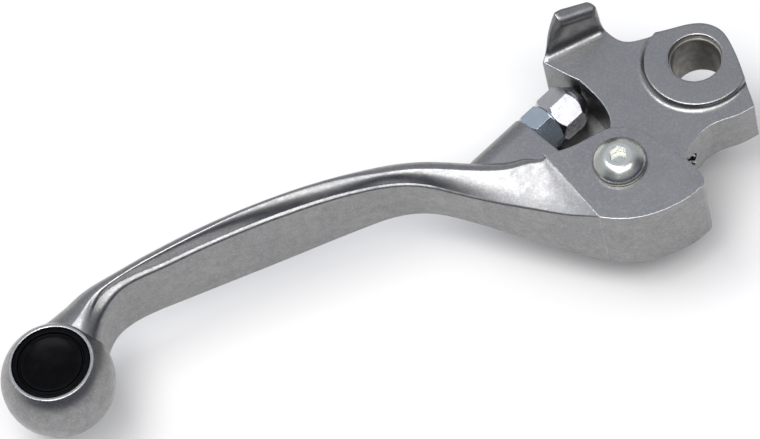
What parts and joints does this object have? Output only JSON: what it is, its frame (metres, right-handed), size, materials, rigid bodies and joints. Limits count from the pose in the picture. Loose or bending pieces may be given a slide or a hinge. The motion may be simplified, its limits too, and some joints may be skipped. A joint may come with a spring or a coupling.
{
  "type": "motorcycle clutch lever",
  "caption": "Short hand lever with a crowned ball-ended blade, hinged on a pivot link with a bored boss and an upright lug, and a hexagon reach adjuster.",
  "frame": {"origin": "on the main pivot bore's axis, half way through the pivot link", "axes": "+Z along the main bore towards the hinge screw's head, +X from the ball end to the bore along the lever's length, -Y towards the fingers' side"},
  "size_m": [0.1466, 0.0443, 0.0302],
  "materials": {
    "lever_body": "tumbled and anodised cast alloy, satin grey",
    "link_body": "tumbled and anodised cast alloy, satin grey",
    "bush": "plain bearing strip, dull",
    "screw": "bright zinc",
    "washer": "zinc",
    "nut": "zinc",
    "nylon": "nylon insert",
    "adjuster": "nickel",
    "locknut": "bluish zinc",
    "spring": "spring steel wire",
    "plug": "moulded black plastic, satin gloss"
  },
  "bodies": {
    "link": {"pivot_link": "link_body", "pivot_bore_bush": "bush", "hinge_sleeve": "bush", "return_spring": "spring"},
    "lever": {"finger_lever": "lever_body", "hinge_screw": "screw", "hinge_washer": "washer", "hinge_nut": "nut", "nut_lock_ring": "nylon", "ball_plug": "plug"},
    "adjuster": {"adjuster_screw": "adjuster"},
    "locknut": {"adjuster_locknut": "locknut"}
  },
  "joints": [
    {"name": "lever_fold", "type": "hinge", "parent": "link", "child": "lever", "pos_m": [-0.022, -0.0141, 0], "axis": [0, 0, 1], "range_deg": [0, 22], "stiffness_Nm_per_rad": 0.35, "springref_deg": -20.05, "deforming": ["return_spring"]},
    {"name": "adjuster_turn", "type": "hinge", "parent": "lever", "child": "adjuster", "pos_m": [-0.03245, 0.0029, 0], "axis": [0.9455, 0.3256, 0], "continuous": true},
    {"name": "locknut_turn", "type": "hinge", "parent": "lever", "child": "locknut", "pos_m": [-0.03245, 0.0029, 0], "axis": [0.9455, 0.3256, 0], "continuous": true}
  ]
}
